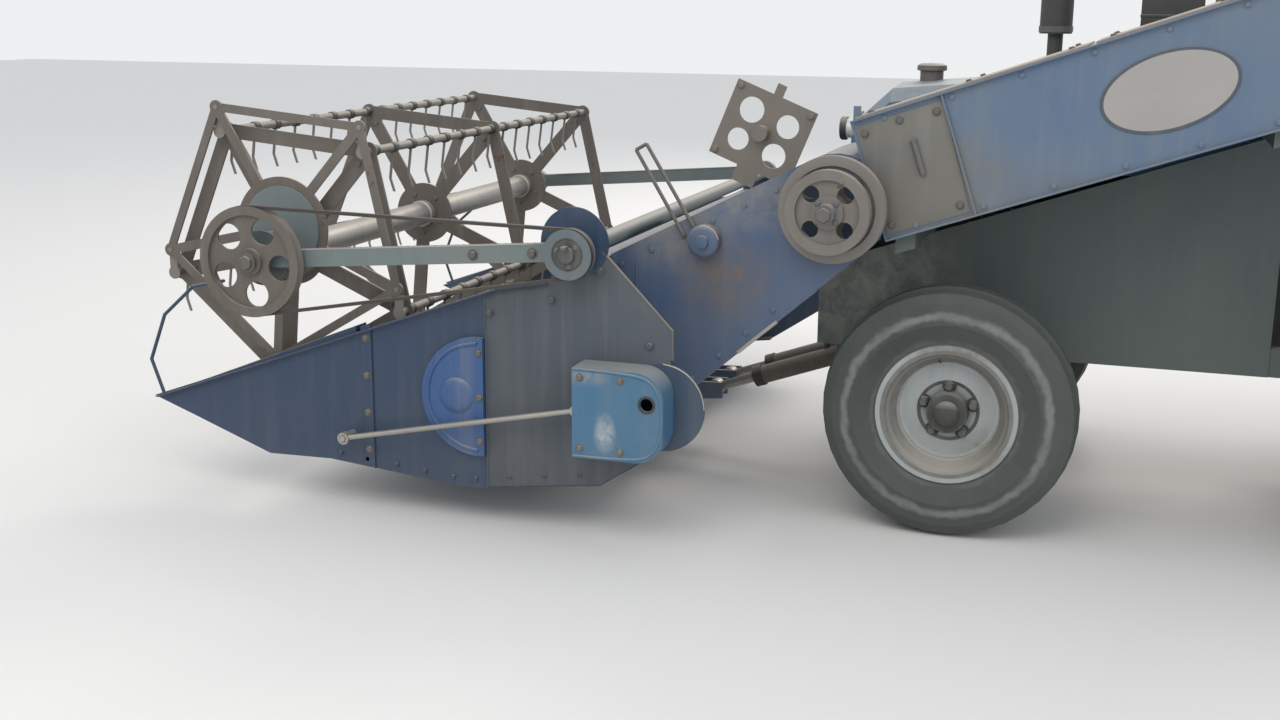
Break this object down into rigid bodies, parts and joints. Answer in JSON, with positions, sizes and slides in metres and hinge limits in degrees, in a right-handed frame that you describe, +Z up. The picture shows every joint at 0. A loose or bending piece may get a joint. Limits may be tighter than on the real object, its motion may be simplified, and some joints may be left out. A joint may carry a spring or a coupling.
{
  "type": "mini combine harvester",
  "caption": "Small tractor-based combine harvester with tine reel header, side feeder, rear thresher, steering front wheels and lifting header.",
  "frame": {"origin": "middle of the whole machine, on the ground", "axes": "+X forward in the travel direction, +Y to the machine's left, +Z up"},
  "size_m": [6.591, 2.5, 2.35],
  "materials": {
    "blue_paint": "weathered",
    "light_blue_paint": "weathered",
    "grey_paint": "dusty",
    "dark_frame": "dusty",
    "arm_paint": "weathered",
    "brown_steel": "rusty",
    "bare_steel": "worn",
    "silver_paint": "dusty",
    "cast": "dirty",
    "tyre": "dusty",
    "belt": "matt",
    "seat_cover": "matt",
    "lamp": "gloss"
  },
  "bodies": {
    "carrier": {"chassis_frame": "dark_frame", "front_axle": "brown_steel", "engine_block": "cast", "gearbox_and_rear_axle": "cast", "bonnet": "light_blue_paint", "radiator": "dark_frame", "headlamps": "lamp", "bonnet_stacks": "dark_frame", "platform": "dark_frame", "seat": "seat_cover", "steering_wheel": "dark_frame", "rear_fenders": "light_blue_paint", "upper_feeder": "blue_paint", "thresher_hood": "blue_paint", "thresher_body": "blue_paint", "side_panels": "dark_frame", "fuel_tank": "dark_frame", "thresher_belt": "belt", "grain_elevator": "blue_paint"},
    "thresher_drum": {"thresher_drum_pulley": "grey_paint"},
    "thresher_fan": {"thresher_fan_pulley": "grey_paint"},
    "header": {"header_trough": "blue_paint", "header_back_beam": "blue_paint", "header_side_left": "blue_paint", "header_side_right": "blue_paint", "cutter_bar": "brown_steel", "belt_cover": "light_blue_paint", "auger_guard": "blue_paint", "knife_rod": "bare_steel", "lower_feeder": "blue_paint", "feeder_conveyor": "bare_steel", "tension_lever": "grey_paint", "bearing_plate": "brown_steel"},
    "knife": {"knife": "bare_steel"},
    "auger": {"auger": "grey_paint"},
    "feeder_pulley": {"feeder_pulley": "grey_paint"},
    "reel_frame": {"reel_arms": "arm_paint", "reel_belt": "belt"},
    "reel": {"reel_rotor": "brown_steel", "reel_pulley": "brown_steel"},
    "reel_drive": {"reel_drive_pulley": "light_blue_paint"},
    "offset_spider": {"offset_spider": "brown_steel"},
    "lift_barrels": {"lift_barrels": "brown_steel"},
    "lift_rods": {"lift_rods": "bare_steel"},
    "knuckle_left": {"knuckle_left": "brown_steel"},
    "knuckle_right": {"knuckle_right": "brown_steel"},
    "tie_rod": {"tie_rod": "brown_steel"},
    "front_wheel_left": {"front_tyre_left": "tyre", "front_rim_left": "silver_paint"},
    "front_wheel_right": {"front_tyre_right": "tyre", "front_rim_right": "silver_paint"},
    "rear_wheel_left": {"rear_tyre_left": "tyre", "rear_rim_left": "silver_paint"},
    "rear_wheel_right": {"rear_tyre_right": "tyre", "rear_rim_right": "silver_paint"},
    "tine_bar_1": {"tine_bar_1": "brown_steel"},
    "tine_bar_2": {"tine_bar_2": "brown_steel"},
    "tine_bar_3": {"tine_bar_3": "brown_steel"},
    "tine_bar_4": {"tine_bar_4": "brown_steel"},
    "tine_bar_5": {"tine_bar_5": "brown_steel"}
  },
  "joints": [
    {"name": "header_lift", "type": "hinge", "parent": "carrier", "child": "header", "pos_m": [0.9995, -0.022, 1.042], "axis": [0, -1, 0], "range_deg": [-4.5, 18]},
    {"name": "lift_barrel_swing", "type": "hinge", "parent": "carrier", "child": "lift_barrels", "pos_m": [1.0345, -0.022, 0.44], "axis": [0, -1, 0], "range_deg": [-6, 23]},
    {"name": "lift_rod_slide", "type": "slide", "parent": "lift_barrels", "child": "lift_rods", "axis": [0.9413, 0, -0.3375], "range_m": [-0.05, 0.19]},
    {"name": "knife_stroke", "type": "slide", "parent": "header", "child": "knife", "axis": [0, 1, 0], "range_m": [-0.038, 0.038]},
    {"name": "auger_spin", "type": "hinge", "parent": "header", "child": "auger", "pos_m": [2.0345, -0.022, 0.43], "axis": [0, 1, 0], "continuous": true},
    {"name": "feeder_pulley_spin", "type": "hinge", "parent": "carrier", "child": "feeder_pulley", "pos_m": [0.9995, 0.864, 1.042], "axis": [0, 1, 0], "continuous": true},
    {"name": "reel_lift", "type": "hinge", "parent": "header", "child": "reel_frame", "pos_m": [1.7125, -0.022, 0.922], "axis": [0, -1, 0], "range_deg": [0, 14]},
    {"name": "reel_spin", "type": "hinge", "parent": "reel_frame", "child": "reel", "pos_m": [2.8105, -0.022, 0.834], "axis": [0, 1, 0], "continuous": true},
    {"name": "reel_drive_spin", "type": "hinge", "parent": "header", "child": "reel_drive", "pos_m": [1.7125, 1.218, 0.922], "axis": [0, 1, 0], "continuous": true},
    {"name": "offset_spider_spin", "type": "hinge", "parent": "reel_frame", "child": "offset_spider", "pos_m": [2.8105, 1.026, 0.916], "axis": [0, 1, 0], "continuous": true},
    {"name": "drum_pulley_spin", "type": "hinge", "parent": "carrier", "child": "thresher_drum", "pos_m": [-2.3655, 0.99, 1.7], "axis": [0, 1, 0], "continuous": true},
    {"name": "fan_pulley_spin", "type": "hinge", "parent": "carrier", "child": "thresher_fan", "pos_m": [-2.1555, 0.99, 1.01], "axis": [0, 1, 0], "continuous": true},
    {"name": "tine_bar_1_turn", "type": "hinge", "parent": "reel", "child": "tine_bar_1", "pos_m": [3.04211, -0.022, 1.22564], "axis": [0, 1, 0], "continuous": true},
    {"name": "tine_bar_2_turn", "type": "hinge", "parent": "reel", "child": "tine_bar_2", "pos_m": [2.5096, -0.022, 1.1753], "axis": [0, 1, 0], "continuous": true},
    {"name": "tine_bar_3_turn", "type": "hinge", "parent": "reel", "child": "tine_bar_3", "pos_m": [2.39292, -0.022, 0.6533], "axis": [0, 1, 0], "continuous": true},
    {"name": "tine_bar_4_turn", "type": "hinge", "parent": "reel", "child": "tine_bar_4", "pos_m": [2.85332, -0.022, 0.38102], "axis": [0, 1, 0], "continuous": true},
    {"name": "tine_bar_5_turn", "type": "hinge", "parent": "reel", "child": "tine_bar_5", "pos_m": [3.25454, -0.022, 0.73474], "axis": [0, 1, 0], "continuous": true},
    {"name": "steer_left", "type": "hinge", "parent": "carrier", "child": "knuckle_left", "pos_m": [0.6345, 0.538, 0.4], "axis": [0, 0, 1], "range_deg": [-30, 30]},
    {"name": "front_wheel_left_spin", "type": "hinge", "parent": "knuckle_left", "child": "front_wheel_left", "pos_m": [0.6345, 0.658, 0.4], "axis": [0, 1, 0], "continuous": true},
    {"name": "rear_wheel_left_spin", "type": "hinge", "parent": "carrier", "child": "rear_wheel_left", "pos_m": [-1.2455, 0.698, 0.665], "axis": [0, 1, 0], "continuous": true},
    {"name": "steer_right", "type": "hinge", "parent": "carrier", "child": "knuckle_right", "pos_m": [0.6345, -0.582, 0.4], "axis": [0, 0, 1], "range_deg": [-30, 30]},
    {"name": "front_wheel_right_spin", "type": "hinge", "parent": "knuckle_right", "child": "front_wheel_right", "pos_m": [0.6345, -0.702, 0.4], "axis": [0, 1, 0], "continuous": true},
    {"name": "rear_wheel_right_spin", "type": "hinge", "parent": "carrier", "child": "rear_wheel_right", "pos_m": [-1.2455, -0.742, 0.665], "axis": [0, 1, 0], "continuous": true},
    {"name": "tie_rod_slide", "type": "slide", "parent": "carrier", "child": "tie_rod", "axis": [0, -1, 0], "range_m": [-0.08, 0.08]}
  ],
  "couplings": [
    {"joint": "fan_pulley_spin", "follows": "drum_pulley_spin", "ratio": 2.5263},
    {"joint": "lift_barrel_swing", "follows": "header_lift", "ratio": 1.25},
    {"joint": "lift_rod_slide", "follows": "header_lift", "m_per_rad": 0.58},
    {"joint": "offset_spider_spin", "follows": "reel_spin", "ratio": 1},
    {"joint": "reel_drive_spin", "follows": "reel_spin", "ratio": 2.3506},
    {"joint": "tine_bar_1_turn", "follows": "reel_spin", "ratio": -1},
    {"joint": "tine_bar_2_turn", "follows": "reel_spin", "ratio": -1},
    {"joint": "tine_bar_3_turn", "follows": "reel_spin", "ratio": -1},
    {"joint": "tine_bar_4_turn", "follows": "reel_spin", "ratio": -1},
    {"joint": "tine_bar_5_turn", "follows": "reel_spin", "ratio": -1},
    {"joint": "steer_right", "follows": "steer_left", "ratio": 1},
    {"joint": "tie_rod_slide", "follows": "steer_left", "m_per_rad": 0.15}
  ]
}
